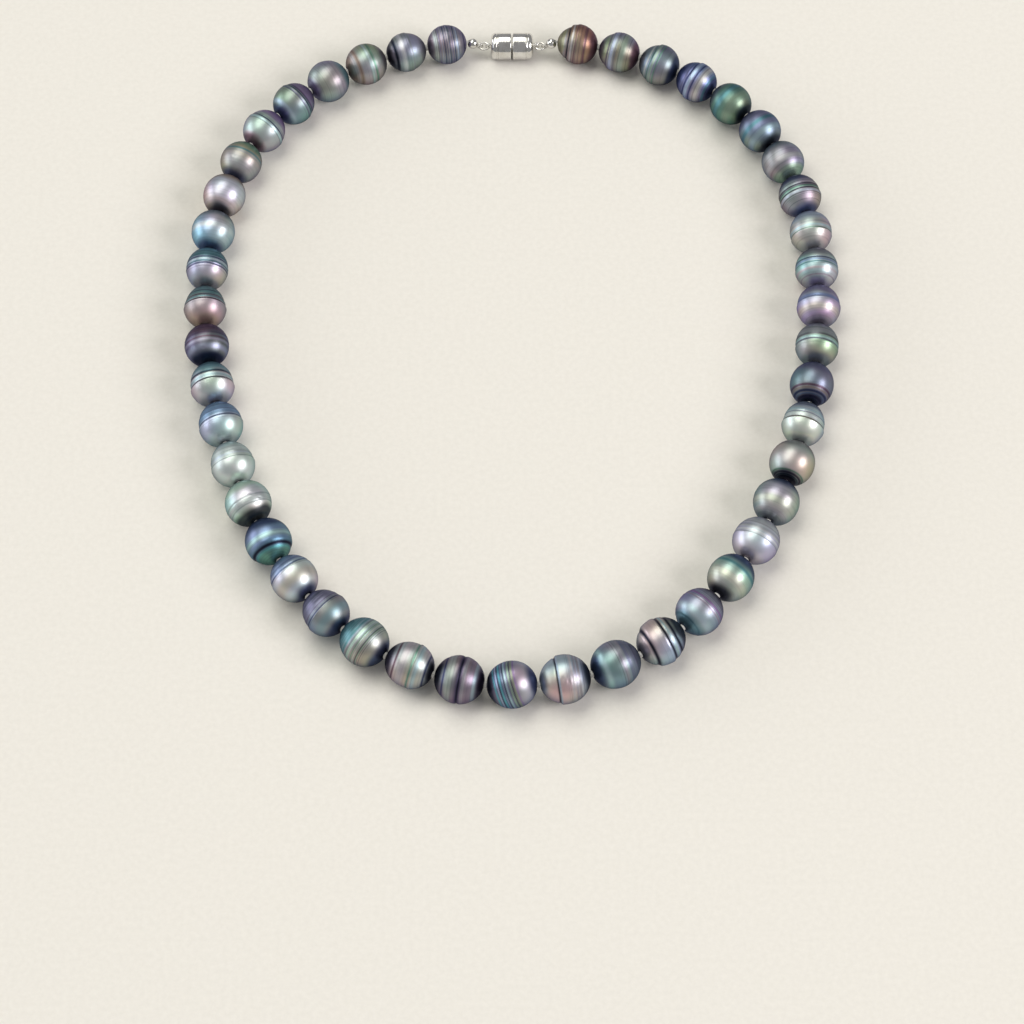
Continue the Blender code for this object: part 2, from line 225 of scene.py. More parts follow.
# From the front pearl out to the clasp
FRONT_LOOK = Look(
    "silver", "lavender", inner=("ink", 0.26), outer=("navy", 0.12),
    rings=(("plum", -0.20, 0.56, 0.0), ("peacock", -0.58, 0.045, 0.0), ("steel", -0.46, 0.03, 0.0),
           ("ink", -0.40, 0.02, 0.012), ("peacock", -0.32, 0.045, 0.0), ("slate", -0.21, 0.03, 0.0),
           ("ink", -0.15, 0.02, 0.014), ("sea", -0.08, 0.04, 0.0), ("violet", 0.0, 0.02, 0.010),
           ("moss", 0.07, 0.045, 0.0), ("ink", 0.14, 0.02, 0.012), ("olive", 0.21, 0.04, 0.0),
           ("grape", 0.31, 0.02, 0.006)),
    lines=(-0.85, 0.30, 0.20), slant=0.30, turn=30, pear=-0.01, pits=((0.52, 20),),
)
LEFT_LOOKS = (
    Look(
        "mauve", "heather", inner=("ink", 0.18), outer=("ink", 0.18),
        # The light silver band at -0.12 and the pistachio band at 0.44 are painted highlights.
        rings=(("sea", -0.58, 0.10, 0.0), ("mauve", -0.36, 0.10, 0.0), ("silver", -0.12, 0.09, 0.0),
               ("plum", 0.05, 0.12, 0.030), ("ink", 0.05, 0.04, 0.020),
               ("pistachio", 0.44, 0.14, 0.0), ("navy", 0.66, 0.04, 0.010)),
        lines=(-0.9, 0.9, 0.16), slant=0.02, shade=0.66,
    ),
    Look(
        "silver", "rose", inner=("ink", 0.14), outer=("ink", 0.14),
        rings=(("green", 0.06, 0.05, 0.030), ("sea", -0.16, 0.10, 0.0), ("navy", -0.56, 0.05, 0.012),
               ("rose", 0.40, 0.16, 0.0), ("maroon", 0.70, 0.04, 0.006)),
        lines=(-0.9, 0.9, 0.15), slant=0.12, turn=40, steps=((0.08, 0.04),), shade=0.90,
    ),
    Look(
        "pewter", "dusk", inner=("navy", 0.18), outer=("teal", 0.30),
        rings=(("moss", 0.02, 0.03, 0.008), ("champagne", 0.14, 0.03, 0.0),
               ("moss", 0.25, 0.03, 0.010), ("pistachio", 0.42, 0.07, 0.0),
               ("teal", 0.62, 0.04, 0.008)),
        lines=(-0.2, 0.9, 0.60), slant=0.12, turn=-30, pear=0.01,
    ),
    Look(
        "ash", "slate", inner=("navy", 0.16), outer=("violet", 0.44),
        rings=(("navy", 0.40, 0.03, 0.016), ("lavender", 0.55, 0.06, 0.0),
               ("navy", 0.72, 0.04, 0.010), ("lagoon", -0.10, 0.22, 0.0)),
        lines=(0.3, 0.95, 0.45), slant=0.08, turn=10, pear=0.02, steps=((0.42, 0.035),), shade=0.88,
    ),
    Look(
        "white", "white", inner=("navy", 0.13), outer=("blue", 0.26),
        rings=(("navy", 0.64, 0.035, 0.014), ("ink", 0.80, 0.04, 0.006),
               ("champagne", 0.1, 0.25, 0.0)),
        lines=(0.5, 0.95, 0.40), slant=0.06,
    ),
    Look(
        "teal", "blue", inner=("green", 0.24), outer=("navy", 0.20),
        rings=(("sea", 0.34, 0.12, 0.0), ("ink", -0.08, 0.08, 0.042), ("peacock", -0.26, 0.05, 0.0),
               ("teal", -0.52, 0.16, 0.0)),
        lines=(-0.8, 0.5, 0.20), slant=0.14, turn=-60, pits=((-0.02, 10), (0.0, 22), (0.04, 30)),
        steps=((-0.10, 0.03),), shade=0.95,
    ),
    Look(
        "mint", "rose", inner=("ink", 0.34), outer=("pistachio", 0.16),
        rings=(("silver", 0.22, 0.12, 0.0), ("ash", 0.08, 0.03, 0.010), ("ash", 0.38, 0.03, 0.012),
               ("sage", -0.50, 0.06, 0.0)),
        lines=(0.0, 0.8, 0.10), slant=0.10, turn=30, pits=((0.34, -6), (0.30, -12), (0.12, -30)),
        shade=1.08,
    ),
    Look(
        "mint", "white", inner=("silver", 0.10), outer=("pale", 0.30),
        rings=(("ash", 0.44, 0.025, 0.018), ("lavender", 0.60, 0.05, 0.004),
               ("ash", 0.74, 0.02, 0.008)),
        lines=(0.4, 0.95, 0.25), slant=0.12, turn=-20, pear=0.02, pits=((-0.55, -25), (-0.65, -10)),
        steps=((0.46, 0.03),), shade=1.10,
    ),
    Look(
        "sea", "rose", inner=("ash", 0.14), outer=("blue", 0.42),
        rings=(("navy", 0.46, 0.03, 0.016), ("steel", 0.60, 0.06, 0.0), ("navy", 0.80, 0.05, 0.006)),
        lines=(0.3, 0.95, 0.40), slant=0.05, pear=0.01, steps=((0.46, 0.03),), shade=1.12,
    ),
    Look(
        "silver", "rose", inner=("graphite", 0.12), outer=("teal", 0.24),
        rings=(("ink", 0.34, 0.04, 0.024), ("sea", 0.48, 0.08, 0.0), ("ink", 0.66, 0.05, 0.012)),
        lines=(0.3, 0.95, 0.50), slant=0.04, steps=((0.36, 0.055),), shade=1.12,
    ),
    Look(
        "violet", "graphite", inner=("ink", 0.20), outer=("maroon", 0.28),
        rings=(("navy", -0.42, 0.16, 0.0), ("heather", 0.02, 0.12, 0.0),
               ("mauve", 0.34, 0.05, 0.006), ("maroon", 0.46, 0.03, 0.010)),
        lines=(0.1, 0.9, 0.45), slant=0.04, pits=((-0.10, 12),), shade=0.92,
    ),
    Look(
        "dusk", "tan", inner=("bronze", 0.16), outer=("teal", 0.24),
        rings=(("ink", 0.44, 0.03, 0.020), ("teal", 0.54, 0.04, 0.0), ("ink", 0.64, 0.03, 0.016),
               ("green", 0.74, 0.03, 0.0)),
        lines=(0.3, 0.95, 0.60), slant=0.03, steps=((0.45, 0.045), (0.65, 0.035)),
    ),
    Look(
        "rose", "lavender", inner=("graphite", 0.12), outer=("teal", 0.30),
        rings=(("navy", 0.32, 0.03, 0.020), ("teal", 0.42, 0.05, 0.0), ("sea", 0.52, 0.03, 0.0),
               ("navy", 0.60, 0.03, 0.012), ("teal", 0.72, 0.06, 0.0), ("ash", -0.50, 0.12, 0.0)),
        lines=(0.2, 0.95, 0.75), slant=0.04, pear=-0.02, steps=((-0.62, 0.02),), shade=0.95,
    ),
    Look(
        "lavender", "steel", inner=("navy", 0.14), outer=("graphite", 0.12),
        rings=(("pale", 0.35, 0.12, 0.0),),
        lines=(-0.8, 0.8, 0.10), slant=0.02, turn=60, shade=1.05,
    ),
    Look(
        "pale", "champagne", inner=("ink", 0.12), outer=("bronze", 0.10),
        rings=(("rose", -0.25, 0.14, 0.0),),
        lines=(-0.8, 0.8, 0.12), slant=0.02,
    ),
    Look(
        "dusk", "tan", inner=("navy", 0.14), outer=("green", 0.16),
        rings=(("ash", 0.50, 0.05, 0.005), ("teal", 0.62, 0.05, 0.0)),
        lines=(-0.8, 0.8, 0.08), slant=0.06, turn=40, pits=((0.12, 8),),
    ),
    Look(
        "pewter", "rose", inner=("maroon", 0.16), outer=("grape", 0.18),
        rings=(("rose", -0.45, 0.14, 0.0), ("navy", 0.56, 0.035, 0.014), ("sea", 0.44, 0.05, 0.0)),
        lines=(0.2, 0.9, 0.30), slant=0.06, turn=-30, steps=((0.56, 0.03),), shade=1.08,
    ),
    Look(
        "ash", "slate", inner=("navy", 0.16), outer=("grape", 0.22),
        rings=(("steel", -0.35, 0.12, 0.0), ("violet", 0.44, 0.04, 0.012),
               ("navy", 0.56, 0.035, 0.014), ("grape", 0.68, 0.05, 0.008)),
        lines=(0.3, 0.95, 0.55), slant=0.06, turn=20, steps=((0.58, 0.03),), shade=0.90,
    ),
    Look(
        "ash", "sage", inner=("violet", 0.16), outer=("teal", 0.14),
        rings=(("violet", -0.66, 0.025, 0.008),),
        lines=(-0.8, 0.8, 0.15), slant=0.04,
    ),
    Look(
        "pewter", "sage", inner=("bronze", 0.20), outer=("graphite", 0.14),
        rings=(("bronze", -0.30, 0.10, 0.0), ("sea", 0.26, 0.08, 0.0), ("green", 0.44, 0.06, 0.006)),
        lines=(-0.8, 0.9, 0.20), slant=0.04, turn=-40, shade=0.88,
    ),
    Look(
        "ash", "tan", inner=("ink", 0.20), outer=("graphite", 0.12),
        rings=(("ink", -0.46, 0.10, 0.020), ("pale", -0.10, 0.10, 0.0), ("ash", 0.34, 0.03, 0.012)),
        lines=(-0.6, 0.6, 0.20), slant=0.03, steps=((-0.46, 0.04), (0.36, 0.03)), shade=0.95,
    ),
    Look(
        "heather", "ash", inner=("graphite", 0.14), outer=("violet", 0.16),
        rings=(("pistachio", -0.52, 0.14, 0.0), ("violet", -0.34, 0.03, 0.008),
               ("lavender", -0.20, 0.03, 0.0), ("navy", -0.08, 0.025, 0.010),
               ("lavender", 0.04, 0.03, 0.0), ("navy", 0.16, 0.025, 0.010),
               ("violet", 0.28, 0.03, 0.0), ("navy", 0.40, 0.03, 0.012), ("steel", 0.55, 0.06, 0.0)),
        lines=(-0.6, 0.95, 0.85), slant=0.02, shade=0.92,
    ),
)
RIGHT_LOOKS = (
    Look(
        "lavender", "silver", inner=("steel", 0.10), outer=("ink", 0.14),
        rings=(("ink", -0.20, 0.045, 0.060), ("steel", -0.14, 0.03, 0.010),
               ("rose", 0.36, 0.04, 0.004), ("mauve", 0.50, 0.03, 0.006), ("rose", 0.62, 0.04, 0.0)),
        lines=(0.2, 0.95, 0.35), slant=0.08, turn=-50, pits=((-0.05, -28), (0.12, -34)),
        steps=((-0.20, 0.045),), shade=0.97,
    ),
    Look(
        "ash", "dusk", inner=("navy", 0.24), outer=("violet", 0.30),
        rings=(("mauve", 0.36, 0.10, 0.0), ("violet", 0.58, 0.08, 0.004), ("sea", -0.34, 0.12, 0.0)),
        lines=(0.1, 0.9, 0.35), slant=0.06, turn=15, shade=0.88,
    ),
    Look(
        "silver", "rose", inner=("graphite", 0.10), outer=("ink", 0.14),
        rings=(("ink", -0.26, 0.08, 0.060), ("ink", 0.46, 0.06, 0.040), ("sea", 0.58, 0.04, 0.0),
               ("ink", 0.74, 0.06, 0.020)),
        lines=(-0.9, 0.9, 0.10), slant=0.16, turn=-40, pits=((-0.72, 15),),
        steps=((-0.28, 0.045), (0.48, 0.035)), shade=0.96,
    ),
    Look(
        "pewter", "heather", inner=("teal", 0.30), outer=("graphite", 0.12),
        rings=(("ink", -0.44, 0.035, 0.018), ("lagoon", -0.53, 0.03, 0.0),
               ("ink", -0.64, 0.03, 0.010), ("mauve", 0.50, 0.04, 0.010), ("grape", 0.64, 0.04, 0.0),
               ("sea", -0.05, 0.16, 0.0)),
        lines=(0.4, 0.95, 0.40), slant=0.08, turn=10, steps=((-0.44, 0.03),), shade=0.92,
    ),
    Look(
        "sage", "pewter", inner=("ink", 0.14), outer=("navy", 0.20),
        rings=(("champagne", 0.05, 0.20, 0.0), ("teal", 0.60, 0.08, 0.0)),
        lines=(-0.8, 0.8, 0.10), slant=0.03,
    ),
    Look(
        "pale", "lavender", inner=("rose", 0.14), outer=("silver", 0.20),
        rings=(("ash", 0.34, 0.025, 0.016), ("white", 0.44, 0.04, 0.0), ("silver", 0.60, 0.06, 0.0)),
        lines=(0.2, 0.9, 0.25), slant=0.10, turn=30, pits=((-0.60, 0), (-0.5, 14)),
        steps=((0.36, 0.02),),
    ),
    Look(
        "silver", "lagoon", inner=("graphite", 0.14), outer=("navy", 0.12),
        rings=(("champagne", 0.10, 0.20, 0.0), ("rose", -0.35, 0.16, 0.0)),
        lines=(-0.8, 0.8, 0.12), slant=0.02, shade=0.86,
    ),
    Look(
        "mint", "mint", inner=("ink", 0.14), outer=("ash", 0.14),
        rings=(("green", -0.30, 0.04, 0.008), ("ink", -0.41, 0.04, 0.018),
               ("teal", -0.50, 0.03, 0.0), ("ink", -0.60, 0.05, 0.010)),
        lines=(-0.95, -0.3, 0.40), slant=0.03, steps=((-0.36, 0.03),), shade=0.73,
    ),
    Look(
        "pale", "lavender", inner=("ash", 0.10), outer=("violet", 0.16),
        rings=(("maroon", 0.34, 0.035, 0.022), ("pale", 0.46, 0.06, 0.0),
               ("violet", 0.60, 0.03, 0.010), ("steel", 0.70, 0.05, 0.0)),
        lines=(0.3, 0.95, 0.35), slant=0.05, steps=((0.36, 0.06),), shade=1.20,
    ),
    Look(
        "dusk", "slate", inner=("ink", 0.14), outer=("violet", 0.20),
        rings=(("maroon", 0.02, 0.06, 0.006), ("bronze", -0.10, 0.05, 0.0),
               ("navy", -0.24, 0.06, 0.012), ("blue", -0.36, 0.04, 0.0),
               ("navy", -0.48, 0.06, 0.010), ("teal", -0.60, 0.04, 0.0), ("ink", -0.74, 0.08, 0.004)),
        lines=(-0.9, 0.2, 0.35), slant=0.04, turn=20, steps=((-0.24, 0.03),), shade=0.64,
    ),
    Look(
        "sage", "pewter", inner=("graphite", 0.16), outer=("mauve", 0.36),
        rings=(("teal", -0.52, 0.14, 0.0), ("violet", 0.34, 0.04, 0.014), ("sea", 0.44, 0.05, 0.0),
               ("maroon", 0.56, 0.03, 0.010)),
        lines=(0.2, 0.95, 0.45), slant=0.04, steps=((0.36, 0.03),), shade=0.92,
    ),
    Look(
        "silver", "lavender", inner=("graphite", 0.12), outer=("violet", 0.22),
        rings=(("blue", 0.56, 0.10, 0.0), ("champagne", 0.05, 0.18, 0.0)),
        lines=(-0.8, 0.8, 0.15), slant=0.03, steps=((0.50, 0.03),),
    ),
    Look(
        "sage", "rose", inner=("violet", 0.14), outer=("graphite", 0.14),
        rings=(("mauve", -0.20, 0.04, 0.006), ("rose", 0.12, 0.06, 0.0), ("teal", 0.40, 0.03, 0.012),
               ("blue", 0.52, 0.04, 0.0), ("navy", 0.62, 0.03, 0.010)),
        lines=(-0.3, 0.95, 0.20), slant=0.08, turn=-20, pits=((-0.25, 18),), steps=((0.42, 0.03),),
        shade=1.08,
    ),
    Look(
        "rose", "silver", inner=("ash", 0.12), outer=("steel", 0.20),
        rings=(("green", 0.26, 0.03, 0.014), ("sea", 0.38, 0.06, 0.0), ("ash", 0.54, 0.03, 0.008)),
        lines=(-0.2, 0.9, 0.25), slant=0.08, turn=-30, steps=((0.28, 0.025),),
    ),
    Look(
        "ash", "heather", inner=("navy", 0.16), outer=("navy", 0.16),
        rings=(("ink", 0.36, 0.035, 0.016), ("steel", 0.24, 0.04, 0.0), ("green", 0.46, 0.05, 0.0),
               ("ink", 0.58, 0.03, 0.012), ("teal", -0.62, 0.06, 0.0)),
        lines=(-0.2, 0.9, 0.55), slant=0.06, steps=((0.38, 0.04),), shade=1.12,
    ),
    Look(
        "mauve", "lavender", inner=("moss", 0.26), outer=("graphite", 0.12),
        rings=(("rose", 0.20, 0.14, 0.0),),
        lines=(-0.8, 0.8, 0.18), slant=0.03, shade=0.93,
    ),
    Look(
        "slate", "sage", inner=("ink", 0.16), outer=("violet", 0.18),
        rings=(("sea", -0.06, 0.16, 0.0), ("teal", 0.46, 0.12, 0.0)),
        lines=(-0.8, 0.8, 0.10), slant=0.04, shade=0.78,
    ),
    Look(
        "green", "olive", inner=("ink", 0.16), outer=("graphite", 0.14),
        rings=(("moss", -0.05, 0.22, 0.0), ("teal", 0.52, 0.12, 0.0)),
        lines=(-0.8, 0.8, 0.12), slant=0.03, shade=0.85,
    ),
    Look(
        "blue", "violet", inner=("navy", 0.18), outer=("navy", 0.18),
        rings=(("champagne", -0.10, 0.18, 0.0), ("teal", -0.48, 0.07, 0.006),
               ("navy", 0.20, 0.04, 0.014), ("steel", 0.38, 0.08, 0.0), ("navy", 0.54, 0.04, 0.014)),
        lines=(-0.9, 0.9, 0.35), slant=0.06, turn=10, steps=((0.50, 0.03),),
    ),
    Look(
        "violet", "heather", inner=("navy", 0.24), outer=("graphite", 0.14),
        rings=(("green", 0.18, 0.03, 0.010), ("sage", 0.36, 0.06, 0.0), ("green", 0.50, 0.03, 0.014),
               ("silver", 0.64, 0.05, 0.0)),
        lines=(-0.6, 0.8, 0.20), slant=0.04, steps=((0.50, 0.05),), shade=0.80,
    ),
    Look(
        "ash", "olive", inner=("maroon", 0.24), outer=("graphite", 0.14),
        rings=(("moss", -0.10, 0.16, 0.0), ("steel", 0.40, 0.10, 0.0),
               ("graphite", 0.24, 0.03, 0.010), ("graphite", 0.58, 0.03, 0.012)),
        lines=(-0.6, 0.8, 0.35), slant=0.03, steps=((0.58, 0.05),),
    ),
    Look(
        "rust", "bronze", inner=("maroon", 0.30), outer=("olive", 0.24),
        rings=(("silver", 0.34, 0.05, 0.0), ("ink", 0.52, 0.05, 0.030),
               ("maroon", 0.16, 0.03, 0.012), ("silver", 0.66, 0.05, 0.0),
               ("maroon", -0.30, 0.05, 0.008)),
        lines=(-0.8, 0.9, 0.35), slant=0.05, steps=((0.20, 0.03), (0.52, 0.08)),
    ),
)


# Places that the frame gives


def joint_places():
    """Where each body's hinge is, by the body's name."""
    return {joint["child"]: Vector(joint["pos_m"]) for joint in frame["joints"]}


HINGES = joint_places()


@dataclass
class Seat:
    """Where a pearl sits: its body and node, its inner and outer knots on the floor, the middle of its drill
    hole, its heading, and its half sizes."""

    body: str
    node: str
    start: Vector
    end: Vector
    centre: Vector
    heading: float
    half_across: float
    half_along: float


def reach_of(node, start, direction):
    """How far a CAD node lies from start along direction: the nearest and the furthest."""
    along = [(vertex.co - start).dot(direction) for vertex in frame["nodes"][node].data.vertices]
    return min(along), max(along)


def seat_between(body, node, start, end):
    low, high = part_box(node)
    half_across = (high.z - low.z) / 2
    middle = (start + end) / 2
    centre = Vector((middle.x, middle.y, low.z + half_across))
    knot_to_knot = end - start
    near, far = reach_of(node, centre, knot_to_knot.normalized())
    heading = math.atan2(knot_to_knot.y, knot_to_knot.x)
    return Seat(body, node, start, end, centre, heading, half_across, (far - near) / 2)


def pearl_seats():
    """(seat, look) of every pearl."""
    seats = [
        (
            seat_between("front_pearl", "pearl_front", HINGES["left_pearl_01"], HINGES["right_pearl_01"]),
            FRONT_LOOK,
        )
    ]
    for side, looks in (("left", LEFT_LOOKS), ("right", RIGHT_LOOKS)):
        for number, look in enumerate(looks, start=1):
            body = f"{side}_pearl_{number:02d}"
            if number < PEARLS_PER_SIDE:
                beyond = f"{side}_pearl_{number + 1:02d}"
            else:
                beyond = f"{side}_bead_tip"
            node = f"pearl_{side}_{number:02d}"
            seats.append((seat_between(body, node, HINGES[body], HINGES[beyond]), look))
    return seats


# Nodes of the materials


class Nodes:
    """A short way to add and link the nodes of one material."""

    def __init__(self, name):
        self.material = bpy.data.materials.new(name)
        self.material.use_nodes = True
        self.tree = self.material.node_tree
        self.shader = self.tree.nodes["Principled BSDF"]

    def add(self, kind, **settings):
        node = self.tree.nodes.new(kind)
        for key, value in settings.items():
            setattr(node, key, value)
        return node

    def link(self, source, target):
        self.tree.links.new(source, target)

    def set(self, **values):
        for key, value in values.items():
            self.shader.inputs[key.replace("_", " ")].default_value = value

    def attribute(self, name):
        return self.add("ShaderNodeAttribute", attribute_name=name)

    def object_position(self):
        return self.add("ShaderNodeTexCoord").outputs["Object"]

    def noise(self, scale, detail=3.0, roughness=0.5, vector=None, line=None):
        """A noise of 0 to 1: in space, or along a line where a W input is given."""
        node = self.add("ShaderNodeTexNoise", noise_dimensions="3D" if line is None else "1D")
        node.inputs["Scale"].default_value = scale
        node.inputs["Detail"].default_value = detail
        node.inputs["Roughness"].default_value = roughness
        if line is None:
            self.link(vector or self.object_position(), node.inputs["Vector"])
        else:
            self.link(line, node.inputs["W"])
        return node.outputs["Fac"]

    def math(self, operation, one, other=None):
        node = self.add("ShaderNodeMath", operation=operation)
        for socket, value in zip(node.inputs, (one, other)):
            if value is None:
                continue
            if isinstance(value, (int, float)):
                socket.default_value = value
            else:
                self.link(value, socket)
        return node.outputs[0]

    def span(self, value, low, high, to_low=0.0, to_high=1.0):
        node = self.add("ShaderNodeMapRange", clamp=True)
        self.link(value, node.inputs["Value"])
        node.inputs["From Min"].default_value = low
        node.inputs["From Max"].default_value = high
        node.inputs["To Min"].default_value = to_low
        node.inputs["To Max"].default_value = to_high
        return node.outputs["Result"]

    def mix(self, factor, one, other, blend="MIX"):
        node = self.add("ShaderNodeMix", data_type="RGBA", blend_type=blend)
        for name, kind, value in (("Factor", "VALUE", factor), ("A", "RGBA", one), ("B", "RGBA", other)):
            socket = next(s for s in node.inputs if s.name == name and s.type == kind)
            if isinstance(value, (int, float, tuple)):
                socket.default_value = (*value, 1.0) if isinstance(value, tuple) else value
            else:
                self.link(value, socket)
        return next(s for s in node.outputs if s.type == "RGBA")

    def bump(self, height, distance, strength=1.0):
        node = self.add("ShaderNodeBump")
        node.inputs["Strength"].default_value = strength
        node.inputs["Distance"].default_value = distance
        self.link(height, node.inputs["Height"])
        self.link(node.outputs["Normal"], self.shader.inputs["Normal"])


def make_nacre(slot, metallic, roughness, film, depth_tint):
    """Nacre: the vertex colours, crossed by fine growth lines and clouded by faint overtones."""
    nodes = Nodes(slot)
    tint = nodes.attribute("tint").outputs["Color"]
    ring = nodes.attribute("ring").outputs["Fac"]
    strength = nodes.attribute("lines").outputs["Fac"]
    coarse = nodes.noise(COARSE_LINES, 2.0, 0.6, line=ring)
    fine = nodes.noise(FINE_LINES, 2.0, 0.6, line=ring)
    dark_lines = nodes.math("MULTIPLY", nodes.span(coarse, 0.50, 0.64), strength)
    light_lines = nodes.math("MULTIPLY", nodes.span(fine, 0.52, 0.70), strength)
    hue = nodes.noise(5.0, 0.0, line=ring)
    dark_colour = nodes.mix(nodes.span(hue, 0.42, 0.58), *DARK_LINES)
    light_colour = nodes.mix(nodes.span(hue, 0.45, 0.60), *LIGHT_LINES)
    colour = nodes.mix(dark_lines, tint, dark_colour)
    colour = nodes.mix(nodes.math("MULTIPLY", light_lines, LIGHT_LINES_SHARE), colour, light_colour)
    cloud = nodes.noise(260.0, 3.0, 0.55)
    rosy = nodes.mix(nodes.span(cloud, 0.38, 0.66, 0.0, 0.6), colour, ROSY, "MULTIPLY")
    drift = nodes.noise(140.0, 1.0, 0.5)
    toned = nodes.mix(nodes.span(drift, 0.40, 0.62, 0.0, 0.6), rosy, GREENISH, "MULTIPLY")
    nodes.link(toned, nodes.shader.inputs["Base Color"])
    gloss = nodes.span(cloud, 0.3, 0.7, roughness - 0.04, roughness + 0.05)
    nodes.link(gloss, nodes.shader.inputs["Roughness"])
    nodes.set(Metallic=metallic)
    nodes.shader.inputs["Specular Tint"].default_value = EDGE_TINT
    nodes.shader.inputs["Thin Film Thickness"].default_value = film
    nodes.shader.inputs["Thin Film IOR"].default_value = FILM_INDEX
    nodes.set(Coat_Weight=1.0, Coat_Roughness=0.12, Coat_IOR=1.05)
    nodes.shader.inputs["Coat Tint"].default_value = (*depth_tint, 1.0)
    ridges = nodes.math("MULTIPLY", nodes.math("ADD", coarse, fine), strength)
    grain = nodes.math("MULTIPLY", nodes.noise(2600.0, 2.0, 0.5), 0.10)
    nodes.bump(nodes.math("ADD", ridges, grain), NACRE_RELIEF, 0.5)
    return nodes.material


def make_silk():
    nodes = Nodes("silk")
    fibre = nodes.noise(5200.0, 3.0, 0.7)
    colour = nodes.mix(nodes.span(fibre, 0.3, 0.7), (0.42, 0.41, 0.40), (0.70, 0.69, 0.66))
    nodes.link(colour, nodes.shader.inputs["Base Color"])
    nodes.set(Roughness=0.75, Sheen_Weight=0.5)
    nodes.bump(fibre, 0.00003, 0.6)
    return nodes.material


def make_silver():
    nodes = Nodes("silver")
    scuffs = nodes.noise(1500.0, 4.0, 0.65)
    nodes.link(nodes.span(scuffs, 0.3, 0.75, 0.08, 0.24), nodes.shader.inputs["Roughness"])
    tarnish = nodes.noise(420.0, 3.0, 0.6)
    colour = nodes.mix(nodes.span(tarnish, 0.45, 0.75), (0.74, 0.73, 0.71), (0.58, 0.56, 0.52))
    nodes.link(colour, nodes.shader.inputs["Base Color"])
    nodes.set(Metallic=1.0)
    nodes.bump(scuffs, 0.00001, 0.25)
    return nodes.material


def make_magnet():
    nodes = Nodes("magnet")
    grain = nodes.noise(2400.0, 3.0, 0.6)
    nodes.link(nodes.span(grain, 0.3, 0.7, 0.22, 0.36), nodes.shader.inputs["Roughness"])
    colour = nodes.mix(nodes.span(grain, 0.3, 0.7), (0.50, 0.50, 0.51), (0.62, 0.61, 0.60))
    nodes.link(colour, nodes.shader.inputs["Base Color"])
    nodes.set(Metallic=1.0)
    nodes.bump(grain, 0.00001, 0.3)
    return nodes.material


# Slot: metallic, roughness, thin film in nanometres, and what its depth of nacre lets through
NACRE = {
    "nacre_silver": (0.85, 0.41, 330.0, (0.67, 0.685, 0.715)),
    "nacre_peacock": (0.85, 0.40, 380.0, (0.62, 0.68, 0.70)),
    "nacre_aubergine": (0.85, 0.41, 420.0, (0.665, 0.645, 0.715)),
    "nacre_pistachio": (0.85, 0.41, 360.0, (0.64, 0.695, 0.695)),
    "nacre_bronze": (0.85, 0.42, 300.0, (0.685, 0.67, 0.675)),
    "nacre_navy": (0.85, 0.40, 400.0, (0.625, 0.655, 0.73)),
}


def make_materials():
    made = {slot: make_nacre(slot, *values) for slot, values in NACRE.items()}
    made["silk"] = make_silk()
    made["silver"] = make_silver()
    made["magnet"] = make_magnet()
    return made


def slot_of(node):
    for entry in frame["record"]["subparts"]:
        if entry["node"] == node:
            return entry["material_slot"]
    raise ValueError(node)


# Meshes


def skin(rings, loop=False):
    """(points, faces) over a (rows, columns, 3) grid that closes around, with flat ends or joined ends."""
    rows, columns, _ = rings.shape
    step = np.arange(columns)
    following = (step + 1) % columns
    faces = []
    for row in range(rows if loop else rows - 1):
        one = row * columns
        other = (row + 1) % rows * columns
        faces += np.stack([one + step, other + step, other + following, one + following], axis=1).tolist()
    if not loop:
        faces += [step.tolist(), (step[::-1] + (rows - 1) * columns).tolist()]
    return rings.reshape(-1, 3), faces


def mesh_object(name, shells, material, sharp_degrees):
    """An object of closed shells, each one facing out."""
    points, faces = [], []
    for shell_points, shell_faces in shells:
        first = len(points)
        points += shell_points.tolist()
        faces += [[first + corner for corner in face] for face in shell_faces]
    data = bpy.data.meshes.new(name)
    data.from_pydata(points, [], faces)
    mesh = bmesh.new()
    mesh.from_mesh(data)
    bmesh.ops.recalc_face_normals(mesh, faces=mesh.faces)
    mesh.to_mesh(data)
    mesh.free()
    data.materials.append(material)
    data.shade_smooth()
    data.set_sharp_from_angle(angle=math.radians(sharp_degrees))
    obj = bpy.data.objects.new(name, data)
    bpy.context.scene.collection.objects.link(obj)
    return obj


# Pearls


def smooth_step(low, high, values):
    share = np.clip((values - low) / (high - low), 0, 1)
    return share * share * (3 - 2 * share)


def smooth_noise(points, chance, waves, frequency):
    """A soft field of about -1 to 1 over the points, from a few random waves."""
    field = np.zeros(len(points))
    for _ in range(waves):
        direction = chance.normal(size=3)
        direction *= frequency / np.linalg.norm(direction)
        field += np.sin(points @ direction + chance.uniform(0, math.tau))
    return field / math.sqrt(waves)


def line_noise(places, chance, waves, frequency):
    field = np.zeros_like(places)
    for _ in range(waves):
        pace = frequency * chance.uniform(0.5, 1.5)
        field += np.sin(places * pace + chance.uniform(0, math.tau))
    return field / math.sqrt(waves)


def unit_grid(mouth):
    """Points of a unit sphere from the inner mouth to the outer one, as (ROWS * COLUMNS, 3)."""
    polar = np.linspace(mouth, math.pi - mouth, ROWS)
    around = np.arange(COLUMNS) * math.tau / COLUMNS
    polar, around = np.meshgrid(polar, around, indexing="ij")
    radius = np.sin(polar)
    grid = np.stack([-np.cos(polar), radius * np.sin(around), radius * np.cos(around)], axis=-1)
    return grid.reshape(-1, 3)


def turn_away(seat):
    """How far the pearl's outer end points away from the camera, as an angle."""
    return math.asin(math.sin(math.radians(CAMERA_TILT)) * math.sin(seat.heading))


def lean_of(unit, look):
    """The place of each point along the axis, plus the lean of the rings."""
    turn = math.radians(look.turn)
    place = unit[:, 0] + look.slant * (unit[:, 1] * math.sin(turn) + unit[:, 2] * math.cos(turn))
    return np.clip(place, -1, 1)


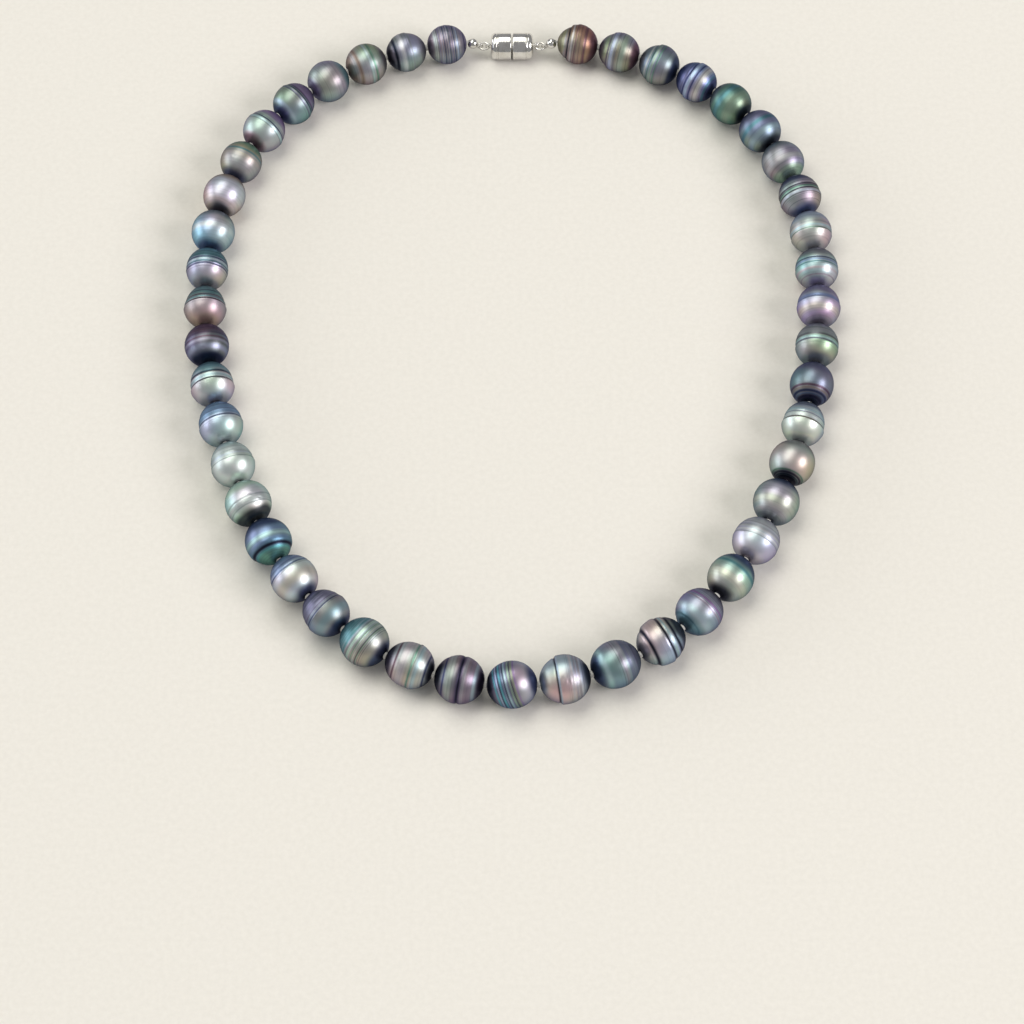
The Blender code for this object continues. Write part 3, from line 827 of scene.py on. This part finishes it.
def seen_place(place, away):
    """How high along the axis a place stands in the camera's view. It goes on past 1 behind the limb."""
    angle = np.arcsin(place) + away
    height = np.sin(angle)
    return np.where(angle > math.pi / 2, 2 - height, height)


def relief_of(unit, rings, away, look, chance):
    """How far each point stands in or out, as a share of the radius."""
    relief = LUMP_SHARE * smooth_noise(unit, chance, 5, LUMP_PACE)
    low, high, strength = look.lines
    in_lines = smooth_step(low - LINES_FADE, low + LINES_FADE, rings)
    in_lines *= 1 - smooth_step(high - LINES_FADE, high + LINES_FADE, rings)
    relief += RIPPLE_SHARE * (0.3 + strength) * in_lines * line_noise(rings, chance, 6, RIPPLE_PACE)
    for _, place, half_width, depth in look.rings:
        relief -= depth * np.exp(-(((rings - place) / half_width) ** 2))
        shoulders = np.exp(-(((rings - place) / (SHOULDER_REACH * half_width)) ** 2))
        relief += SHOULDER_SHARE * depth * shoulders
    for place, drop in look.steps:
        towards_end = math.copysign(1, place) * rings
        relief -= drop * smooth_step(abs(place) - STEP_WIDTH, abs(place) + STEP_WIDTH, towards_end)
    for seen, degrees in look.pits:
        angle = math.radians(degrees)
        place = math.sin(math.asin(seen) - away)
        radius = math.sqrt(1 - place**2)
        pit = np.array([place, radius * math.sin(angle), radius * math.cos(angle)])
        distance = np.linalg.norm(unit - pit, axis=1)
        relief -= PIT_DEPTH * np.exp(-((distance / PIT_REACH) ** 2))
        relief += PIT_RIM_SHARE * PIT_DEPTH * np.exp(-((distance / (2 * PIT_REACH)) ** 2))
    return relief, in_lines * strength


def tint_of(unit, leaning, rings, look, chance):
    """The nacre's colour at each point: two body colours in patches, the caps, then the rings. Dark caps are
    partly painted shade, and the drill hole's mouth is darkened with painted shade.
    """
    patches = smooth_step(-0.5, 0.9, smooth_noise(unit, chance, 4, PATCH_PACE) + 0.5 * unit[:, 1])
    tint = np.array(COLOURS[look.body]) * np.ones((len(unit), 3))
    tint += patches[:, None] * (np.array(COLOURS[look.other]) - tint)
    for overtone, pace in OVERTONES:
        tint *= 1 + smooth_noise(unit, chance, 4, pace)[:, None] * overtone
    for name, place, half_width, _ in look.rings:
        share = np.exp(-np.abs((rings - place) / half_width) ** RING_EDGE)
        tint += share[:, None] * (np.array(COLOURS[name]) - tint)
    # The caps: a dark cap is partly the nacre's own colour and partly painted shade and painted reflection of the
    # neighbouring pearl.
    ragged = RAGGED_SHARE * smooth_noise(unit, chance, 4, RAGGED_PACE)
    for towards_end, (name, reach) in ((-leaning, look.inner), (rings, look.outer)):
        edge = 1 - reach
        share = smooth_step(edge - CAP_FADE, edge + CAP_EDGE, towards_end + ragged)
        tint += CAP_STRENGTH * share[:, None] * (np.array(COLOURS[name]) - tint)
    # Painted shade: the drill hole's mouth and the hole itself darken towards ink
    mouth = smooth_step(*MOUTH_BAND, np.abs(unit[:, 0]))
    tint += MOUTH_PAINTED_SHADE * mouth[:, None] * (np.array(COLOURS["ink"]) - tint)
    return np.clip(look.shade * tint, 0, BRIGHTEST)


def pearl_object(seat, look, order, material):
    """The pearl as one closed mesh in the space of its own seat, with its drill hole through it."""
    chance = np.random.default_rng(FIRST_SEED + order)
    mouth = math.asin(HOLE_RADIUS / seat.half_across)
    unit = unit_grid(mouth)
    leaning = lean_of(unit, look)
    away = turn_away(seat)
    rings = seen_place(leaning, away)
    relief, lines = relief_of(unit, rings, away, look, chance)
    tint = tint_of(unit, leaning, rings, look, chance)
    near_hole = np.hypot(unit[:, 1], unit[:, 2])
    calm = smooth_step(CALM_BAND[0] * mouth, CALM_BAND[1] * mouth, near_hole)
    radial = 1 + relief * calm - look.pear * unit[:, 0]
    oval = 1 + OVAL_SHARE * chance.uniform(-1, 1) * np.cos(2 * np.arctan2(unit[:, 1], unit[:, 2]))
    shape = unit.copy()
    shape[:, 1:] *= (radial * oval)[:, None]
    dimple = POLE_DIMPLE * np.exp(-((near_hole / POLE_DIMPLE_REACH) ** 2))
    shape[:, 0] *= 1 - dimple
    shape[:, 1:] *= seat.half_across / -shape[:, 2].min()
    shape[:, 0] *= seat.half_along / np.abs(shape[:, 0]).max()
    shell = skin(shape.reshape(ROWS, COLUMNS, 3), loop=True)
    pearl = mesh_object(seat.node + "_nacre", [shell], material, PEARL_SHARP_DEGREES)
    mesh = pearl.data
    for name, kind, values in (
        ("tint", "FLOAT_COLOR", np.hstack([tint, np.ones((len(tint), 1))])),
        ("ring", "FLOAT", rings + LINE_SPACING * order),
        ("lines", "FLOAT", lines),
    ):
        layer = mesh.attributes.new(name, kind, "POINT")
        field = "color" if kind == "FLOAT_COLOR" else "value"
        layer.data.foreach_set(field, values.astype(np.float32).ravel())
    pearl.matrix_world = Matrix.Translation(seat.centre) @ Matrix.Rotation(seat.heading, 4, "Z")
    return pearl


def seat_piece(piece, body, node):
    """Fastens a piece to its body, in place of a CAD node."""
    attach(piece, body)
    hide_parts(node)


def add_pearls(seats, materials):
    for order, (seat, look) in enumerate(seats):
        slot = slot_of(seat.node)
        seat_piece(pearl_object(seat, look, order, materials[slot]), seat.body, seat.node)


# Silk


def silk_shell(length, knots):
    """A plied thread along X from 0 to length. It swells into each knot: (place, radius, half length)."""
    rows = [np.linspace(0, length, THREAD_ROWS)]
    for place, _, half_length in knots:
        rows.append(place + half_length * np.sin(np.linspace(-math.pi / 2, math.pi / 2, KNOT_ROWS)))
    rows = np.unique(np.concatenate(rows).round(6))
    around = np.arange(SILK_COLUMNS) * math.tau / SILK_COLUMNS
    rows, around = np.meshgrid(rows, around, indexing="ij")
    plies = np.cos(SILK_PLIES * around - math.tau * rows / TWIST_PITCH)
    wraps = np.abs(np.sin(math.pi * rows / WRAP_PITCH + around / 2))
    radius = SILK_RADIUS * (1 + PLY_RELIEF * (plies - 1))
    for place, knot_radius, half_length in knots:
        swell = np.sqrt(np.clip(1 - ((rows - place) / half_length) ** 2, 0, None))
        radius += (knot_radius - SILK_RADIUS) * swell * (1 + WRAP_RELIEF * (wraps - 1))
    return skin(np.stack([rows, radius * np.sin(around), radius * np.cos(around)], axis=-1))


def place_along(piece, start, end):
    """Puts a piece that runs along its own X between two points."""
    reach = end - start
    heading = math.atan2(reach.y, reach.x)
    drop = math.atan2(-reach.z, math.hypot(reach.x, reach.y))
    turn = Matrix.Rotation(heading, 4, "Z") @ Matrix.Rotation(drop, 4, "Y")
    piece.matrix_world = Matrix.Translation(start) @ turn


def add_silk(seats, findings, material):
    """One stretch of thread for each pearl, with the knot at its inner end, and one for each bead tip."""
    for seat, _ in seats:
        start = Vector((seat.start.x, seat.start.y, seat.centre.z))
        end = Vector((seat.end.x, seat.end.y, seat.centre.z))
        knots = [(0, KNOT_RADIUS, KNOT_HALF_LENGTH)] if seat.body != "front_pearl" else []
        shell = silk_shell((end - start).length, knots)
        thread = mesh_object(f"silk_{seat.body}", [shell], material, SILK_SHARP_DEGREES)
        place_along(thread, start, end)
        seat_piece(thread, seat.body, "silk_thread")
    for finding in findings:
        knots = [(END_KNOT_PLACE, END_KNOT_RADIUS, END_KNOT_RADIUS)]
        name = f"silk_{finding.side}_bead_tip"
        shell = silk_shell(END_KNOT_PLACE, knots)
        thread = mesh_object(name, [shell], material, SILK_SHARP_DEGREES)
        place_along(thread, finding.knot, finding.link)
        seat_piece(thread, f"{finding.side}_bead_tip", "silk_thread")


# Silver findings


@dataclass
class Finding:
    """One side's run from its last knot to the clasp: the knot, where the bead tip's loop holds the ring, and
    where the ring holds the clasp."""

    side: str
    knot: Vector
    link: Vector
    clasp: Vector


def findings_of(seats):
    heights = {seat.body: seat.centre.z for seat, _ in seats}
    found = []
    for side in SIDES:
        low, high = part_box(f"jump_ring_{side}")
        axis_height = (low.z + high.z) / 2
        knot = HINGES[f"{side}_bead_tip"].copy()
        knot.z = heights[f"{side}_pearl_{PEARLS_PER_SIDE:02d}"]
        link = HINGES[f"{side}_jump_ring"].copy()
        clasp = HINGES[f"{side}_clasp"].copy()
        link.z = clasp.z = axis_height
        found.append(Finding(side, knot, link, clasp))
    return found


def lathe(profile, columns=48):
    """Turns (along, radius) points about X into a closed shell."""
    around = np.arange(columns) * math.tau / columns
    rings = [
        np.stack([np.full(columns, along), radius * np.sin(around), radius * np.cos(around)], axis=-1)
        for along, radius in profile
    ]
    return skin(np.array(rings))


def arc(middle, height, radius, start, end, steps):
    """(along, radius) points of an arc from start to end, in degrees from straight back along X."""
    turns = np.radians(np.linspace(start, end, steps))
    return [(middle - radius * math.cos(turn), height + radius * math.sin(turn)) for turn in turns]


def wire_ring(centre, radius, wire_radius, upright, slit=0.0):
    """A ring of round wire, whole or with a slit, either upright in the XZ plane or level."""
    turns = np.radians(np.linspace(90 + slit / 2, 450 - slit / 2, WIRE_ROWS + 1))
    if not slit:
        turns = turns[:-1]
    bends = np.arange(WIRE_COLUMNS) * math.tau / WIRE_COLUMNS
    turns, bends = np.meshgrid(turns, bends, indexing="ij")
    out = radius + wire_radius * np.cos(bends)
    side = wire_radius * np.sin(bends)
    if upright:
        ring = np.stack([out * np.cos(turns), side, out * np.sin(turns)], axis=-1)
    else:
        ring = np.stack([out * np.cos(turns), out * np.sin(turns), side], axis=-1)
    return skin(ring + np.array(centre), loop=not slit)


def add_bead_tip(finding, material):
    """A clamshell ball with a seam, a rolled mouth for the thread, and a loop."""
    node = f"bead_tip_{finding.side}"
    low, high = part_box(node)
    radius = (high.y - low.y) / 2
    inner = radius - BALL_WALL
    mouth = math.degrees(math.asin((BALL_MOUTH + BALL_LIP) / radius))
    inner_mouth = math.degrees(math.asin((BALL_MOUTH + BALL_LIP) / inner))
    lip_along = END_KNOT_PLACE - (radius + inner) / 2
    profile = arc(END_KNOT_PLACE, 0, radius, 176, mouth, 40)
    profile += arc(lip_along, BALL_MOUTH + BALL_LIP, -BALL_LIP, 180, 0, 7)[::-1]
    profile += arc(END_KNOT_PLACE, 0, inner, inner_mouth, 176, 24)
    points, faces = lathe(profile)
    seam = SEAM_DEPTH / radius * np.exp(-((points[:, 1] / SEAM_WIDTH) ** 2))
    points[:, 1:] *= (1 - seam)[:, None]
    reach = (finding.link - finding.knot).length
    loop = wire_ring((reach, 0, 0), LOOP_RADIUS, WIRE_RADIUS, upright=True)
    tip = mesh_object(node + "_fine", [(points, faces), loop], material, WIRE_SHARP_DEGREES)
    place_along(tip, finding.knot, finding.link)
    seat_piece(tip, f"{finding.side}_bead_tip", node)


def add_jump_ring(finding, material):
    node = f"jump_ring_{finding.side}"
    low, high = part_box(node)
    radius = (finding.clasp - finding.link).length / 2
    ring = wire_ring((radius, 0, 0), radius, (high.z - low.z) / 2, upright=False, slit=RING_SLIT)
    ring = mesh_object(node + "_fine", [ring], material, WIRE_SHARP_DEGREES)
    place_along(ring, finding.link, finding.clasp)
    seat_piece(ring, f"{finding.side}_jump_ring", node)


def cup_profile(radius, start, end, magnet_radius, magnet_start):
    """From the middle of the closed end, over the shoulder and two engraved lines, into the recess."""
    first_line = start + CUP_SHOULDER + 2 * GROOVE_WIDTH
    lines = (first_line, first_line + 3 * GROOVE_WIDTH)
    profile = [(start, WIRE_RADIUS)]
    profile += arc(start + CUP_SHOULDER, radius - CUP_SHOULDER, CUP_SHOULDER, 0, 90, 14)
    for along in np.linspace(start + CUP_SHOULDER, end - CUP_LIP, 40)[1:]:
        groove = sum(math.exp(-(((along - line) / (GROOVE_WIDTH / 2)) ** 2)) for line in lines)
        profile.append((along, radius - GROOVE_DEPTH * groove))
    profile += arc(end - CUP_LIP, radius - CUP_LIP, CUP_LIP, 90, 180, 6)[1:]
    recess = magnet_radius + CUP_RECESS_CLEARANCE
    floor = magnet_start - CUP_RECESS_CLEARANCE
    profile += [(end, recess), (floor, recess), (floor, WIRE_RADIUS)]
    return profile


def add_clasp_half(finding, silver, magnet_metal):
    """A round-shouldered cup with a flat back, its loop, and the magnet in its mouth."""
    side = finding.side
    direction = (finding.clasp - finding.link).normalized()
    cup_node, magnet_node = f"clasp_cup_{side}", f"magnet_{side}"
    low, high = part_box(cup_node)
    _, end = reach_of(cup_node, finding.clasp, direction)
    magnet_start, magnet_end = reach_of(magnet_node, finding.clasp, direction)
    magnet_low, magnet_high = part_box(magnet_node)
    magnet_radius = (magnet_high.z - magnet_low.z) / 2
    profile = cup_profile((high.y - low.y) / 2, LOOP_STAND_OFF, end, magnet_radius, magnet_start)
    points, faces = lathe(profile, 72)
    points[:, 2] = np.maximum(points[:, 2], low.z - finding.clasp.z)
    loop = wire_ring((0, 0, 0), LOOP_RADIUS, WIRE_RADIUS, upright=True)
    cup = mesh_object(cup_node + "_fine", [(points, faces), loop], silver, CLASP_SHARP_DEGREES)
    rim = magnet_radius - MAGNET_CHAMFER
    profile = [(magnet_start, WIRE_RADIUS), (magnet_start, rim)]
    profile += [(magnet_start + MAGNET_CHAMFER, magnet_radius), (magnet_end - MAGNET_CHAMFER, magnet_radius)]
    profile += [(magnet_end, rim), (magnet_end, WIRE_RADIUS)]
    magnet = mesh_object(magnet_node + "_fine", [lathe(profile)], magnet_metal, CLASP_SHARP_DEGREES)
    for piece, node, slot in ((cup, cup_node, "silver"), (magnet, magnet_node, "magnet")):
        place_along(piece, finding.clasp, finding.clasp + direction)
        seat_piece(piece, f"{side}_clasp", node)


def add_findings(findings, materials):
    for finding in findings:
        add_bead_tip(finding, materials["silver"])
        add_jump_ring(finding, materials["silver"])
        add_clasp_half(finding, materials["silver"], materials["magnet"])


# Studio


def add_camera():
    tilt = math.radians(CAMERA_TILT)
    back = Vector((0, -math.sin(tilt), math.cos(tilt)))
    data = bpy.data.cameras.new("camera")
    data.sensor_width = SENSOR_WIDTH
    data.lens = FOCAL_LENGTH
    camera = bpy.data.objects.new("camera", data)
    bpy.context.scene.collection.objects.link(camera)
    camera.location = CAMERA_AIM + back * CAMERA_DISTANCE
    camera.rotation_euler = (tilt, 0, 0)
    bpy.context.scene.camera = camera


def add_floor():
    nodes = Nodes("floor")
    fleck = nodes.noise(900.0, 2.0, 0.6)
    colour = nodes.mix(nodes.span(fleck, 0.3, 0.7), (0.69, 0.66, 0.615), (0.725, 0.695, 0.65))
    nodes.link(colour, nodes.shader.inputs["Base Color"])
    nodes.set(Roughness=0.9)
    mesh = bpy.data.meshes.new("floor")
    half = FLOOR_SIZE / 2
    corners = [(-half, -half, 0), (half, -half, 0), (half, half, 0), (-half, half, 0)]
    mesh.from_pydata(corners, [], [(0, 1, 2, 3)])
    mesh.materials.append(nodes.material)
    floor = bpy.data.objects.new("floor", mesh)
    bpy.context.scene.collection.objects.link(floor)


def add_softbox(name, direction, distance, width, height, power, colour):
    data = bpy.data.lights.new(name, "AREA")
    data.shape = "ELLIPSE"
    data.size = width
    data.size_y = height
    data.energy = power
    data.color = colour
    light = bpy.data.objects.new(name, data)
    bpy.context.scene.collection.objects.link(light)
    place = Vector(direction).normalized() * distance
    light.location = place
    light.rotation_mode = "QUATERNION"
    light.rotation_quaternion = (-place).to_track_quat("-Z", "Y")
    light.visible_camera = False


def add_studio():
    add_floor()
    for softbox in SOFTBOXES:
        add_softbox(*softbox)
    world = bpy.data.worlds.new("studio")
    world.use_nodes = True
    background = world.node_tree.nodes["Background"]
    background.inputs["Color"].default_value = SKY_COLOUR
    background.inputs["Strength"].default_value = SKY_STRENGTH
    bpy.context.scene.world = world
    bpy.context.scene.view_settings.view_transform = "Standard"


add_camera()
add_studio()
materials = make_materials()
seats = pearl_seats()
findings = findings_of(seats)
add_pearls(seats, materials)
add_silk(seats, findings, materials["silk"])
add_findings(findings, materials)
